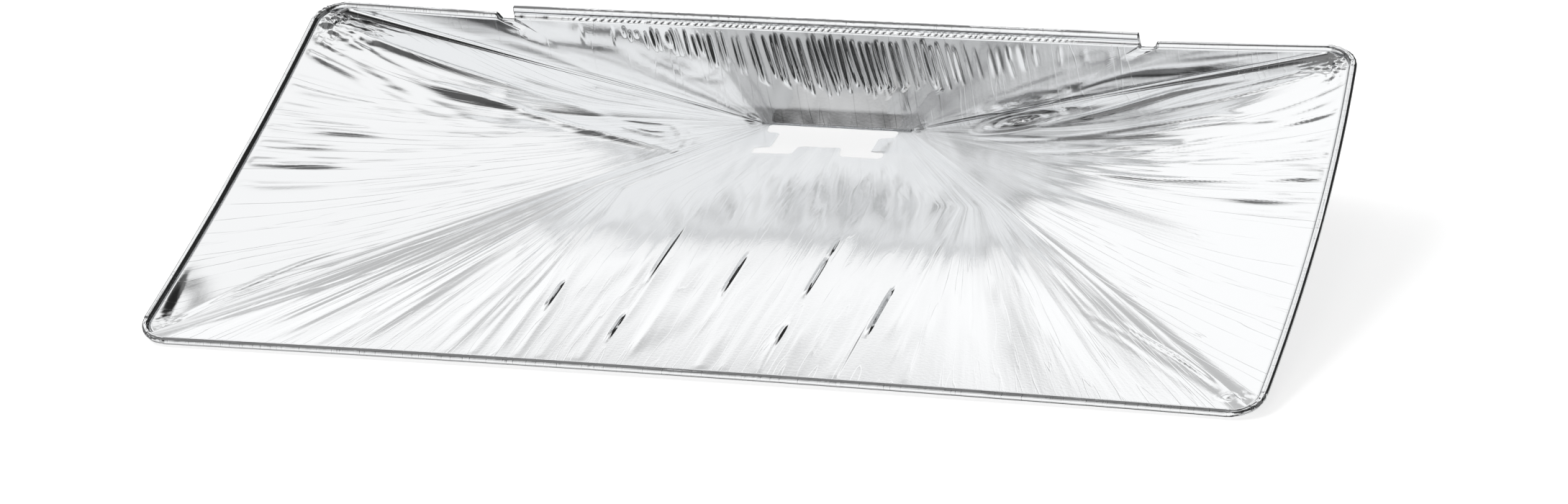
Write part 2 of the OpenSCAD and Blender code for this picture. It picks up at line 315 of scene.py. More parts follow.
# %% Where the stations crowd
# How many columns each side gets, so that no piece has more than 200,000 triangles
COLUMNS = {"front": 398, "left": 250, "rear": 1000, "right": 250}


def front_crowd(p):
    """Crowds the front side's stations at the ribs and the corners."""
    ribs = sum(inside(-p, x - 3, x + 3, 1.0) for x in RIB_X)
    return 1 / 1.75 + ribs / 0.5 + 0.6 * (np.abs(p) > STRAIGHT_X - 3)


def side_crowd(p):
    """Crowds the left and right side's stations round the corners."""
    ends = np.abs(p) > STRAIGHT_Y - 3
    return 1 / 1.3 + 0.5 * ends + 2.5 * (np.abs(p) > STRAIGHT_Y + 10)


def rear_crowd(p):
    """Crowds the rear side's stations at the notches and the pleats."""
    ends = inside(p, -RAISED_LEFT - 10, -RAISED_LEFT + 4, 1.0)
    ends = ends + inside(p, RAISED_RIGHT - 4, RAISED_RIGHT + 10, 1.0)
    return 1 / 1.7 + inside(p, -150, 150, 8.0) / 0.7 + ends * 1.5


CROWDS = {"front": front_crowd, "left": side_crowd, "rear": rear_crowd, "right": side_crowd}
RIM = {side: stations(side, COLUMNS[side], CROWDS[side]) for side in SIDES}
for side, rim in RIM.items():
    closest = np.diff(rim["path"]).min()
    print(side, "has", len(rim["path"]), "stations, at least", round(closest, 2), "mm apart")

# %% [markdown]
# ## Noise that repeats
# Crumpled foil needs randomness, but a scene has to give the same picture each time. This noise
# reads a seeded table of numbers and blends between them, so the same place always gets the
# same height. Stretched along one direction it makes creases, and folded about zero it makes
# sharp ridges between flat facets, which is how stiff foil buckles.


# %% Repeatable noise
# The noise starts again after this many cells
CELLS = 97


def wander(u, v, seed):
    """Smooth random heights from -1 to 1, with about one crest per two units."""
    table = np.random.default_rng(seed).uniform(-1, 1, (CELLS, CELLS))
    u0, v0 = np.floor(u).astype(int), np.floor(v).astype(int)
    fu, fv = u - u0, v - v0
    fu, fv = fu * fu * (3 - 2 * fu), fv * fv * (3 - 2 * fv)
    u1, v1 = (u0 + 1) % CELLS, (v0 + 1) % CELLS
    u0, v0 = u0 % CELLS, v0 % CELLS
    near = table[u0, v0] * (1 - fu) + table[u1, v0] * fu
    far = table[u0, v1] * (1 - fu) + table[u1, v1] * fu
    return near * (1 - fv) + far * fv


def facets(u, v, seed):
    """Ridges with flat sides, from 0 to 1."""
    return 1 - np.abs(wander(u, v, seed) + 0.5 * wander(2.1 * u + 7, 1.7 * v, seed + 1)) / 1.5


sample = wander(np.linspace(0, 50, 501), np.zeros(501), 1)
print("The noise runs from", sample.min().round(2), "to", sample.max().round(2))


# %% One fold along a path
def fold(x, y, path, height, left, right, taper=0.6):
    """The height of one fold along a path, with its own softness on its left and right."""
    path = np.array(path, float)
    knots = np.linspace(0, 1, len(path))
    fine = np.linspace(0, 1, 6 * len(path) - 5)
    if len(path) > 2:
        # Points are added between the given ones, and the corners are rounded off four times
        smooth = np.stack([np.interp(fine, knots, path[:, k]) for k in (0, 1)], axis=1)
        for _ in range(4):
            smooth[1:-1] = (smooth[:-2] + 2 * smooth[1:-1] + smooth[2:]) / 4
        path = smooth
    # Only the vertices near the path are worked out, and each one takes its nearest stretch
    reach = 3 * max(left, right)
    low, high = path.min(0) - reach, path.max(0) + reach
    near = (x > low[0]) & (x < high[0]) & (y > low[1]) & (y < high[1])
    px, py = x[near], y[near]
    best, signed, along = np.full(px.shape, np.inf), np.zeros(px.shape), np.zeros(px.shape)
    steps = np.hypot(*np.diff(path, axis=0).T)
    gone = 0.0
    for (x0, y0), (x1, y1), length in zip(path[:-1], path[1:], steps):
        ux, uy = (x1 - x0) / length, (y1 - y0) / length
        t = np.clip((px - x0) * ux + (py - y0) * uy, 0, length)
        dx, dy = px - x0 - t * ux, py - y0 - t * uy
        away = np.hypot(dx, dy)
        closer = away < best
        best = np.where(closer, away, best)
        signed = np.where(closer, ux * dy - uy * dx, signed)
        along = np.where(closer, (gone + t) / steps.sum(), along)
        gone += length
    softness = np.where(signed > 0, left, right)
    out = np.zeros(x.shape)
    ends = np.clip(np.sin(np.pi * along), 0, 1) ** taper
    out[near] = height * np.exp(-((best / softness) ** 2)) * ends
    return out


# %% Thin creases, puckers and crumples
def streaks(place, s, low, high, count, tall, wide, seed, first, last):
    """Thin creases that run from the rim towards the valley, each steeper on one side."""
    random = np.random.default_rng(seed)
    total = np.zeros_like(place)
    for _ in range(count):
        middle, drift = random.uniform(low, high), random.uniform(-14, 14)
        width, height = wide * random.uniform(0.5, 1.4), tall * random.uniform(0.3, 1.0)
        start = random.uniform(first, 0.5 * (first + last))
        end = random.uniform(0.5 * (start + last), last)
        away = (place - middle - drift * (1 - s) ** 2) / width
        away = np.where(away > 0, away * 1.8, away)
        total += height * np.exp(-(away**2)) * inside(s, start + 0.1, end - 0.1, 0.1)
    return total


def pucker(x, y, middle, half_x, half_y, turns, tall):
    """Rings of small waves, as where a dent has been pushed back."""
    far = np.hypot((x - middle[0]) / half_x, (y - middle[1]) / half_y)
    return tall * np.cos(2 * np.pi * turns * far) * np.clip(1 - far, 0, 1) ** 0.7


def crumple(x, y, middle, reach, tall, seed):
    """Sharp small facets round one point."""
    near = np.exp(-((x - middle[0]) ** 2 + (y - middle[1]) ** 2) / reach**2)
    broken = facets(x / 3.1, y / 3.1, seed) - 0.5 + 0.4 * wander(x / 1.6, y / 1.6, seed)
    return tall * near * broken


# %% [markdown]
# ## Hanging a slope between the valley and the rim
# A grid is the natural start for a sheet: its columns are the stations along the rim, and its
# rows go from the valley out to the bead. The operator makes the flat grid, and each corner is
# then moved to its place. Rows lie closer near the valley, where the outlet and the puckers are,
# and near the rim, where the bead's crimps pull at the sheet.

# %% Rows from the valley to the rim
NEAR_ROWS = np.linspace(0, 0.3, 53)
MIDDLE_ROWS = np.linspace(0.3, 0.94, 57)[1:]
RIM_ROWS = np.linspace(0.94, 1, 15)[1:]
LEVELS = np.concatenate([NEAR_ROWS, MIDDLE_ROWS, RIM_ROWS])
WALL_LEVELS = np.linspace(0, 1, 49)
# Where the sheet runs into the bead, and how far the bead is rolled from there, in degrees round
# its section from straight out
ROLL_START, ROLL_TURN = 190, 300
EDGE_TURN = math.radians(ROLL_START)
print(len(LEVELS), "rows on a slope and", len(WALL_LEVELS), "on the rear wall")


# %% Where the sheet meets the bead
def edge_of(rim, lifted=True):
    """Where the sheet meets the bead, as x, y and height."""
    flat = rim["centre"] + rim["out"] * (rim["radius"] * math.cos(EDGE_TURN))[:, None]
    lift = rim["lift"] if lifted else np.minimum(rim["lift"], 0)
    return np.column_stack([flat, lift + rim["radius"] * math.sin(EDGE_TURN)])


CREASE_X = abs(edge_of(RIM["front"])[0, 0])
print("The creases end", CREASE_X.round(1), "mm from the middle of the tray")


# %% Columns and grids
# Stations up to this far from the middle, in millimetres, run straight while the slope is wide
# enough: past the ribs on the front slope, and past the pleats on the rear wall
RIB_ZONE, PLEAT_ZONE = 101.3, 130.0


def squeeze(x, zone, half):
    """Stations in the zone run straight, and the rest close up to fit half the slope's width."""
    core = np.minimum(zone, 0.78 * half)
    outer = core + (half - core) * (np.abs(x) - zone) / (CREASE_X - zone)
    return np.where(np.abs(x) <= zone, x * core / zone, np.sign(x) * outer)


def flat_grid(name, columns, rows):
    """A grid mesh, with the column and the row of each of its vertices."""
    grid = bmesh.new()
    bmesh.ops.create_grid(grid, x_segments=columns, y_segments=rows, size=1.0)
    mesh = to_mesh(grid, name)
    places = (places_of(mesh) + 1) / 2
    column = np.rint(places[:, 0] * columns).astype(int)
    row = np.rint(places[:, 1] * rows).astype(int)
    return mesh, column, row


# %% Turn a grid into a piece of the liner
def foil_piece(mesh, points, sheet_place):
    """A grid with its places, UV map, material and thickness, which rides on the body."""
    # A fold may not leave the CAD box. The thickness grows down and to the back, so it is left
    # room there
    lowest = np.array(cad_low) + (0, 0, FOIL_T / 1000)
    highest = np.array(cad_high) - (0, FOIL_T / 1000, 0)
    placed = np.clip(on_table(points), lowest, highest)
    mesh.vertices.foreach_set("co", placed.astype(np.float32).ravel())
    corner = np.empty(len(mesh.loops), np.int32)
    mesh.loops.foreach_get("vertex_index", corner)
    layer = mesh.uv_layers.new(name="UVMap")
    layer.data.foreach_set("uv", (sheet_place[corner] / 10).astype(np.float32).ravel())
    # A side slope's first row falls on one point, and the bead's sides meet: both are merged
    shape = bmesh.new()
    shape.from_mesh(mesh)
    bmesh.ops.remove_doubles(shape, verts=shape.verts, dist=1e-7)
    shape.to_mesh(mesh)
    shape.free()
    mesh.shade_smooth()
    mesh.materials.append(FOIL)
    piece = add_object(mesh.name, mesh)
    thickness = piece.modifiers.new("foil thickness", "SOLIDIFY")
    thickness.thickness, thickness.offset = FOIL_T / 1000, -1
    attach(piece, "root")
    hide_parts("foil_liner")
    print(piece.name, "has", len(mesh.vertices), "vertices and", len(mesh.polygons), "faces")
    return piece


# %% [markdown]
# ## The soft creases between the slopes
# Where two slopes meet, the press leaves a rounded crease and not a knife line. Both slopes
# climb a little as they near it, by the same amount, so that they meet on one smooth curve. The
# front slope bends within about 35 mm of the crease, and the side slope over three times that.

# %% Round the front creases
# How steeply the two slopes climb where they meet
CREASE_LEAN = 0.13
# How deep the sharp crease between a side slope and the rear wall is pressed, in millimetres
CREASE_GROOVE = 0.45


def crease_groove(marked, s):
    """The depth of the sharp crease on the marked vertices. It fades out at its two ends."""
    return CREASE_GROOVE * marked * inside(s, 0.08, 0.85, 0.06)


def round_crease(x, y, s, sign, spread=1.0):
    """Extra height beside a front crease, which is soft in the middle of its length."""
    start = np.array([sign * HALF_VALLEY, VALLEY_Y])
    end = edge_of(RIM["front"])[0 if sign > 0 else -1, :2]
    along = (end - start) / np.hypot(*(end - start))
    away = np.abs((x - start[0]) * along[1] - (y - start[1]) * along[0])
    softness = 1.5 + 34 * np.sin(np.pi * np.clip(s, 0, 1)) ** 0.8
    return CREASE_LEAN / 2 * softness * np.clip(1 - away / (softness * spread), 0, None) ** 2


# %% [markdown]
# ## The front slope
# This is the big, nearly level face. Long shallow wrinkles fan from the valley to the front rim,
# and pressed ribs stand on it in five rows. On the real sheet they keep the foil from kinking.
# They are worth real geometry, because each has one steep side that shows black.

# %% Ribs of the front slope
# Each rib: the row of ribs that it stands in, where it starts and ends, front to back, and its
# height
RIBS = [
    (0, -96, -61, 1.1), (1, -62, 16, 0.7), (1, -125, -94, 1.2), (2, -68, -17, 1.0),
    (3, -62, -17, 1.5), (3, -14, 7, 0.9), (3, -117, -96, 0.8), (4, -102, -46, 1.7),
]


def rib_height(x, y, rib):
    """One rib: a soft left side, a steep right side and pointed ends."""
    row, front, back, height = rib
    length = back - front
    t = np.clip((y - front) / length, 0, 1)
    belly = np.minimum(1, 3.2 * np.minimum(t, 1 - t)) ** 0.8
    across = x - RIB_X[row]
    left_side = np.clip((across + 2.0) / 2.3, 0, 1)
    right_side = np.clip((1.3 - across) / 0.8, 0, 1)
    return height * belly * np.minimum(left_side, right_side)


# %% Folds and creases of the front slope
# Each fold: height, softness on its left and right, and the places that it runs through
FRONT_FOLDS = [
    (0.9, 1.3, 1.0, [(226, -73), (246, -90.5), (266, -107), (289, -130)]),
    (0.18, 1.3, 1.3, [(196, -57), (222, -76), (246, -97), (272, -119)]),
    (0.14, 1.2, 1.2, [(205, -70), (236, -96), (262, -121), (280, -140)]),
    (0.25, 1.2, 1.2, [(-300, -141), (-262, -103), (-215, -52), (-172, -5)]),
    (0.25, 1.6, 1.2, [(-292, -142), (-246, -98), (-205, -60)]),
]

# Each set of thin creases: from where to where along the rim, how many, how tall and wide, the
# seed, and the shares of the slope's length between which they lie
FRONT_STREAKS = [
    (-280, 40, 40, 0.30, 2.8, 19, 0.42, 1.08),
    (-70, 130, 30, 0.22, 2.0, 21, 0.6, 1.08),
    (-120, 240, 12, 0.30, 9.0, 23, 0.2, 0.9),
]
print(len(RIBS), "ribs,", len(FRONT_FOLDS), "folds and", len(FRONT_STREAKS), "sets of creases")

# %% Lay the front slope smooth
# About how long the front and side slopes are, in millimetres, for the UV map
FRONT_LENGTH, SIDE_LENGTH = 320, 300
mesh, column, row = flat_grid("front_slope", COLUMNS["front"], len(LEVELS) - 1)
edge, s = edge_of(RIM["front"])[column], LEVELS[row]
along = edge[:, 0]
half = HALF_VALLEY + (CREASE_X - HALF_VALLEY) * s
x = squeeze(along, RIB_ZONE, half)
y = VALLEY_Y + (edge[:, 1] - VALLEY_Y) * s
z = -PAN_DEPTH + (edge[:, 2] + PAN_DEPTH) * s
print("Widest at the rim:", np.ptp(x).round(1), "mm")

# %% Wrinkle the front slope
# Wrinkles fade towards the valley and the rim, and the last row is held, so it fits the bead
fade = np.clip(np.sin(np.pi * s**1.1), 0, 1)
held = step_up(1 - s, 0, 0.02)
height = 0.25 * fade * facets(along / 9, 3.2 * s, 11)
height += 0.45 * fade * (1 + wander(along / 20, 2.2 * s, 15))
height += 0.9 * fade * (1 + wander(along / 55, 1.5 * s, 17))
for low, high, count, tall, wide, seed, first, last in FRONT_STREAKS:
    height += held * streaks(along, s, low, high, count, tall, wide, seed, first, last)
# Small waves in front of the outlet, and the right one of its tabs bent down a little
height += 0.22 * inside(x, -45, 60, 14.0) * inside(s, 0.12, 0.22, 0.12) * wander(x / 5, 3 * s, 25)
height -= 1.2 * (x > 25) * np.clip((40 - x) / 10, 0, 1) * inside(y, 123, 140, 1.0)
for tall, left, right, places in FRONT_FOLDS:
    height += fold(x, y, places, tall, left, right) * held
print("Wrinkles from", height.min().round(2), "to", height.max().round(2), "mm")

# %% Press the ribs and the creases
height += pucker(x, y, (299, -142), 9, 5, 0.9, 0.5) * held
height += sum(rib_height(x, y, rib) for rib in RIBS)
height += round_crease(x, y, s, 1) + round_crease(x, y, s, -1)
place = np.stack([along, FRONT_LENGTH * s], axis=1)
front_slope = foil_piece(mesh, np.stack([x, y, z + height], axis=1), place)

# %% [markdown]
# ## The side slopes
# The two side slopes are triangles that run to a point at an end of the valley. Their wrinkles
# start at the rim, where the bead's rolling gathered the sheet, and lean towards the valley. The
# strong folds are laid one by one where the photograph shows them, and noise fills in the rest.

# %% Folds of the left slope
# As on the front slope. A fifth value is how sharply a fold tapers at its ends.
LEFT_FOLDS = [
    (1, 1.2, 4.0, [(-309, 140), (-276, 136), (-242, 132), (-197, 128), (-152, 125), (-124, 121)]),
    (0.9, 5.0, 5.0, [(-312, 147), (-290, 140), (-262, 134), (-225, 128), (-190, 125)]),
    (0.7, 3.6, 4.2, [(-300, 132), (-275, 121), (-254, 113), (-222, 109), (-200, 109)]),
    (1.3, 3.0, 3.6, [(-235, 112), (-183, 109), (-147, 106), (-112, 107), (-80, 107)]),
    (0.8, 5.0, 4.0, [(-314, 125), (-296, 120), (-271, 110), (-245, 99), (-215, 90), (-180, 87)]),
    (0.7, 5.0, 4.0, [(-313, 109), (-291, 106), (-265, 93), (-238, 84), (-205, 80)]),
    (0.26, 2.5, 2.5, [(-313, 87), (-298, 87), (-285, 87), (-255, 84)]),
    (0.26, 2.5, 2.5, [(-313, 73), (-294, 75), (-268, 77), (-240, 80)]),
    (0.28, 3.0, 2.5, [(-314, 54), (-296, 57), (-276, 60), (-250, 66)]),
    (0.26, 2.0, 2.0, [(-314, 43), (-302, 46), (-280, 51)]),
    (0.34, 3.0, 2.5, [(-313, 34), (-291, 42), (-276, 48), (-244, 55), (-205, 66)]),
    (0.25, 2.0, 2.0, [(-314, 21), (-295, 28), (-278, 36)]),
    (0.3, 2.0, 2.0, [(-313, 13), (-292, 18), (-272, 24)]),
    (0.3, 3.0, 3.0, [(-313, 2), (-289, 9), (-262, 18), (-200, 44)]),
    (0.3, 3.0, 3.0, [(-313, -16), (-291, -11), (-260, 4)]),
    (0.5, 0.9, 0.9, [(-124, 123), (-109, 126), (-99, 129)]),
    (0.5, 0.9, 0.9, [(-120, 119), (-105, 119), (-97, 123)]),
    (0.4, 0.9, 0.9, [(-124, 117), (-112, 116), (-98, 117)]),
    (0.9, 2.2, 1.6, [(-99, 131), (-91, 128), (-86, 120), (-87, 109), (-89, 98)]),
    (0.7, 1.6, 1.6, [(-89, 131), (-80, 126), (-80, 115), (-81, 108)]),
    (-2.8, 14.0, 5.5, [(-313, -84), (-309, -108), (-306, -130), (-308, -156)], 1.8),
    (0.7, 1.6, 1.6, [(-306, -141), (-283, -112), (-258, -84), (-236, -62)]),
    (0.5, 1.4, 1.4, [(-304, -136), (-280, -101), (-254, -66), (-228, -40)]),
    (0.5, 1.4, 1.4, [(-300, -139), (-270, -104), (-236, -69), (-205, -40)]),
]
print(len(LEFT_FOLDS), "folds on the left slope")


# %% Lay a side slope smooth
def lay_side(side, sign, column, s):
    """A smooth side slope, and each vertex's share of the way from the front to the rear."""
    edge = edge_of(RIM[side])[column]
    x = sign * HALF_VALLEY + (edge[:, 0] - sign * HALF_VALLEY) * s
    y = VALLEY_Y + (edge[:, 1] - VALLEY_Y) * s
    z = -PAN_DEPTH + (edge[:, 2] + PAN_DEPTH) * s
    share = (column / column.max()) if side == "left" else (1 - column / column.max())
    return x, y, z, share


# %% Wrinkle a side slope
def side_wrinkles(x, y, s, share, path, dents, calm, seed):
    """Noise and thin creases, deepest near the rear, and none in the dents."""
    fade = np.clip(np.sin(np.pi * s**1.3), 0, 1) * np.sin(np.pi * share) ** 0.5
    gathered = 0.3 + 0.7 * step_up(share, 0.3, 0.4)
    held = step_up(1 - s, 0, 0.02)
    for (middle_x, middle_y), half_x, *_ in dents:
        far = np.hypot(x - middle_x, 3 * (y - middle_y)) / half_x
        fade = fade * step_up(far, 0.7, 0.6)
    height = 0.16 * fade * gathered * facets(path / 6, 2.5 * s, seed)
    height += 0.45 * fade * gathered * wander(path / 13, 2.0 * s, seed + 3)
    height += 1.1 * fade * wander(path / 50, 1.6 * s, seed + 5)
    height += held * streaks(path, s, 0, 155, 46, 0.42, 3.4, seed + 7, first=0.72, last=1.1)
    height += held * streaks(path, s, calm, 60, 12, 0.35, 7.5, seed + 9, first=0.45, last=1.08)
    return height


# %% Shape a side slope
# A fold that starts near the rim is carried on this far, in millimetres, so it runs off the edge
RIM_NEAR, RUN_OFF = 285, 26


def side_slope(name, side, sign, folds, dents, crumples, calm, seed):
    """One triangular slope, from the end of the valley to the bead, calm in front of a place."""
    mesh, column, row = flat_grid(name, COLUMNS[side], len(LEVELS) - 1)
    s = LEVELS[row]
    x, y, z, share = lay_side(side, sign, column, s)
    # Wrinkles start square to the rim and then lean, most of all near the rear
    lean = (1 - np.maximum(s, 0.35)) * (60 + 110 * step_up(share, 0.62, 0.25))
    path = -sign * RIM[side]["path"][column] + lean
    held = step_up(1 - s, 0, 0.02)
    height = side_wrinkles(x, y, s, share, path, dents, calm, seed)
    height -= crease_groove(share > 0.999, s)
    for tall, left, right, places, *taper in folds:
        (x0, y0), (x1, y1) = places[:2]
        if abs(x0) > RIM_NEAR and abs(x1 - x0) > abs(y1 - y0):
            start = (x0 + sign * RUN_OFF, y0 + (y0 - y1) / abs(x1 - x0) * RUN_OFF)
            places = [start, *places]
        height += fold(x, y, places, tall, left, right, *taper) * held
    for spot in dents:
        height += pucker(x, y, *spot) * held
    for spot in crumples:
        height += crumple(x, y, *spot) * held
    height += round_crease(x, y, s, sign, 3.0)
    place = np.stack([path, SIDE_LENGTH * s], axis=1)
    return foil_piece(mesh, np.stack([x, y, z + height], axis=1), place)


# %% The left slope
# Each crumple: its middle, reach, height and seed. Each dent: its middle, half its length and
# width, how many rings it has and their height.
LEFT_CRUMPLES = [((-300, 146), 22.0, 2.2, 41), ((-312, -138), 9.0, 1.2, 43)]
LEFT_DENTS = [((-53, 150), 8, 4, 1.6, 0.5)]
side_slope("left_slope", "left", -1, LEFT_FOLDS, LEFT_DENTS, LEFT_CRUMPLES, -125, 31)

# %% The right slope
# Its strong folds lie round the long dent near the rear wall
RIGHT_FOLDS = [
    (0.6, 3.5, 7.0, [(60, 149), (110, 149.5), (160, 150), (215, 150.5)]),
    (1.0, 3.0, 3.0, [(90, 139), (104, 136), (138, 135), (173, 136), (218, 147), (262, 150)]),
    (0.6, 1.2, 1.0, [(88, 144), (94, 151), (106, 153), (125, 152), (134, 149)]),
    (0.6, 1.0, 1.0, [(104, 140), (118, 143), (133, 146)]),
    (0.6, 1.0, 1.0, [(99, 145), (110, 148), (122, 149)]),
    (0.5, 1.0, 1.0, [(106, 137), (128, 142), (145, 143)]),
    (0.7, 2.2, 1.6, [(155, 135), (181, 138), (215, 145), (262, 146)]),
    (0.6, 2.0, 1.6, [(91, 132), (123, 122), (160, 117), (220, 117), (242, 117), (270, 108)]),
    (0.4, 1.8, 1.8, [(161, 111), (187, 110), (243, 110), (300, 98)]),
    (0.3, 1.8, 1.4, [(187, 92), (208, 92), (246, 94), (310, 92)]),
    (0.28, 1.5, 1.5, [(182, 97), (205, 89), (250, 87), (312, 84)]),
    (0.26, 1.5, 1.3, [(210, 85), (236, 81), (312, 78)]),
    (0.26, 1.5, 1.3, [(206, 82), (238, 73), (312, 68)]),
    (0.3, 1.5, 1.2, [(167, 83), (213, 67), (270, 50), (316, 40)]),
    (0.4, 2.0, 2.0, [(126, 110), (163, 102), (200, 101)]),
    (0.5, 1.6, 1.6, [(205, 130), (243, 131), (300, 140)]),
    (0.4, 1.4, 1.4, [(208, 135), (237, 139), (300, 146)]),
]
RIGHT_DENTS = [((118, 143), 36, 11, 3.0, 0.9), ((52, 151), 8, 4, 1.6, 0.5)]
RIGHT_CRUMPLES = [((303, 148), 16.0, 1.6, 61), ((306, -146), 7.0, 0.7, 63)]
side_slope("right_slope", "right", 1, RIGHT_FOLDS, RIGHT_DENTS, RIGHT_CRUMPLES, 20, 51)

# %% [markdown]
# ## The rear wall
# The rear wall is nearly upright. Crimping the raised bead shortened its top edge, so the middle
# of the wall is drawn into upright pleats. They are deep and sharp under the bead, and the
# longest reach two thirds of the way down. Its grid's columns lean as the pleats do, so that no
# pleat cuts across them and turns to steps.

# %% Pleats of the rear wall
# How far the pleats lean to the right on their way down, and between which places they stand.
# Those past the third place are weak.
PLEAT_LEAN = 8.0
PLEATS_FROM, PLEATS_TO, WEAK_FROM = -124.0, 132, 82

# The pleats' lower ends, as a share of the wall's height, at places along the wall
PLEAT_X = [-125, -100, -75, -50, -25, 0, 30, 60, 85, 110, 135]
PLEAT_END = [0.80, 0.70, 0.60, 0.48, 0.38, 0.36, 0.38, 0.44, 0.52, 0.62, 0.72]


def pleats(x, s):
    """Upright grooves in the wall, each with its own depth, lean and length."""
    random = np.random.default_rng(71)
    total = 0.12 * wander(x / 3.4, 1.5 * s, 73) * step_up(s, 0.45, 0.3)
    total = total * (1 - step_up(s, 0.95, 0.05))
    total *= inside(x, -45, 110, 25.0)
    place = PLEATS_FROM
    while place < PLEATS_TO:
        middle_share = math.exp(-(((place - 5) / 70) ** 2))
        strong = place < WEAK_FROM
        tall = ((1.1 if strong else 0.35) + 0.8 * middle_share) * random.uniform(0.45, 1.15)
        wide = random.uniform(0.8, 1.5) * (1.0 if strong else 1.5)
        low = np.interp(place, PLEAT_X, PLEAT_END) + random.uniform(-0.05, 0.10)
        high = random.uniform(0.90, 0.97)
        slant = PLEAT_LEAN + random.uniform(-2.5, 2.5)
        middle = place + slant * (1 - s) + 0.8 * math.sin(place) * np.sin(5 * s + place)
        away = (x - middle) / wide
        away = np.where(away > 0, away * 1.5, away)
        t = np.clip((s - low) / (high - low), 0, 1)
        total -= tall * np.exp(-(away**2)) * np.sin(np.pi * t) ** 0.6
        place += random.uniform(2.9, 5.8) * (1.0 if strong else 1.6)
    return total


# %% Lay the rear wall smooth
# The wall is straight up to this share of its height, and there starts to follow the bead. Its
# plain top edge is this far below the bead's centre line, in millimetres.
TOP_START, TOP_Z = 0.86, 0.4
mesh, column, row = flat_grid("rear_wall", COLUMNS["rear"], len(WALL_LEVELS) - 1)
edge, s = edge_of(RIM["rear"], lifted=False)[column], WALL_LEVELS[row]
path = RIM["rear"]["path"][column]
swell = RIM_Y - ROLL_R - BOW_REAR * (1 - np.clip(path / STRAIGHT_X, -1, 1) ** 2)
swell += (RAISED_Y - ROLL_R - swell) * inside(path, -RAISED_LEFT, RAISED_RIGHT, 45.0)
plain = np.where(np.abs(path) < STRAIGHT_X, swell, edge[:, 1])
top = step_up(s, TOP_START, 0.14)
half = HALF_VALLEY + (CREASE_X - HALF_VALLEY) * s
x = squeeze(edge[:, 0], PLEAT_ZONE, half)
x += PLEAT_LEAN * (1 - s) * step_up(s, 0, 0.4) * inside(edge[:, 0], -90, 90, 50.0)
y = VALLEY_Y + (plain - VALLEY_Y) * s + (edge[:, 1] - plain) * top
z = -PAN_DEPTH + (PAN_DEPTH - TOP_Z) * s + (edge[:, 2] + TOP_Z) * top
z -= crease_groove(np.isin(column, (0, COLUMNS["rear"])), s)
print("The wall climbs", np.ptp(z).round(1), "mm and leans back", np.ptp(y).round(1), "mm")

# %% Shape the rear wall
# The lowest strip was bent once more along a level line, and short upright marks stand under
# the ends of the raised bead
FLAP_TOP = 0.19
TICKS = [-189, -151, -131, 113, 128, 143.5, 158, 173]

height = pleats(x, s)
height += 0.6 * np.sin(np.pi * s) * wander(x / 44, 1.5 * s, 75)
low_waves = np.sin(np.pi * np.clip(s / 0.5, 0, 1)) * inside(path, -130, 130, 30.0)
height += 0.22 * low_waves * wander(x / 8, 2 * s, 77)
height += np.interp(s, [0, FLAP_TOP, 0.6], [0, 0.7, 0]) * inside(x, -56, 43, 25.0)
for middle in TICKS:
    height += 0.3 * np.exp(-(((x - middle) / 0.9) ** 2)) * inside(s, 0.84, 0.88, 0.10)
place = np.stack([x, PAN_DEPTH * s], axis=1)
foil_piece(mesh, np.stack([x, y - height, z], axis=1), place)

# %% [markdown]
# ## The rolled bead
# The edge of the sheet is rolled into an open curl about five millimetres thick. It runs all
# round, and in the middle of the rear it stands on a short crimped neck. One long grid follows
# every station of the rim, and its rows go round the curl, so that the bead never shows a joint.
# Each vertex is placed by how far out and up it is from the bead's centre line.

# %% Sections of the bead
BEAD_ROWS = 24
PLAIN_TURN = np.radians(np.linspace(ROLL_START, ROLL_START - ROLL_TURN, BEAD_ROWS + 1))

# The raised bead's first rows are its neck. Each row is so far out and up from where the wall
# meets it, in millimetres, and has so much of the crimps' depth.
NECK_START = (-ROLL_R * 0.985, -0.417)
NECK_OUT = np.array([0.0, -0.4, 0.4, 1.1, 1.7, 1.4, 0.6])
NECK_UP = np.array([0.0, 0.05, 0.45, 0.95, 1.5, 2.4, 3.4])
CRIMP_ROWS = np.array([0.0, 0.0, 0.8, 1.0, 0.7, 0.2, 0.0])
NECK_ROWS = len(NECK_OUT)

# The other rows are the roll on top of the neck
RAISED_TURN = np.radians(np.linspace(214, -80, BEAD_ROWS + 1 - NECK_ROWS))
print("Rows of the raised bead:", NECK_ROWS, "for the neck,", len(RAISED_TURN), "for the roll")

# %% Gather the stations of all four sides
whole = {
    key: np.concatenate([RIM[side][key] for side in SIDES])
    for key in ("path", "centre", "out", "lift", "radius")
}
on_rear = np.concatenate([np.full(len(RIM[side]["path"]), side == "rear") for side in SIDES])
mesh, column, row = flat_grid("rolled_bead", len(whole["path"]) - 1, BEAD_ROWS)
centre, out = whole["centre"][column], whole["out"][column]
lift, radius, path = whole["lift"][column], whole["radius"][column], whole["path"][column]
walked = np.concatenate([[0], np.cumsum(np.hypot(*np.diff(whole["centre"], axis=0).T))])
print("The bead is", walked[-1].round(), "mm long, with", len(walked), "stations")

# %% Roll the plain bead
# How much flatter the roll is pressed on a side that faces this way, and at which angle of its
# section: towards the tray on the left, and on top on the right and in front
PRESSED = [(0.30, (-1, 0), 145), (0.24, (1, 0), 85), (0.30, (0, -1), 58)]
# How deep the crimps are round a corner and along a side, in millimetres
CORNER_CRIMP, SIDE_CRIMP = -0.35, -0.05

pressed = 0.05
for flatter, (faces_x, faces_y), angle in PRESSED:
    facing = np.clip(faces_x * out[:, 0] + faces_y * out[:, 1], 0, 1)
    pressed = pressed + flatter * facing**2 * np.cos(PLAIN_TURN[row] - math.radians(angle)) ** 2
corner = np.abs(out[:, 0] * out[:, 1]) > 1e-6
crimp = np.where(corner, CORNER_CRIMP, SIDE_CRIMP) * (1 + wander(path / 1.6, row / 3.5, 91))
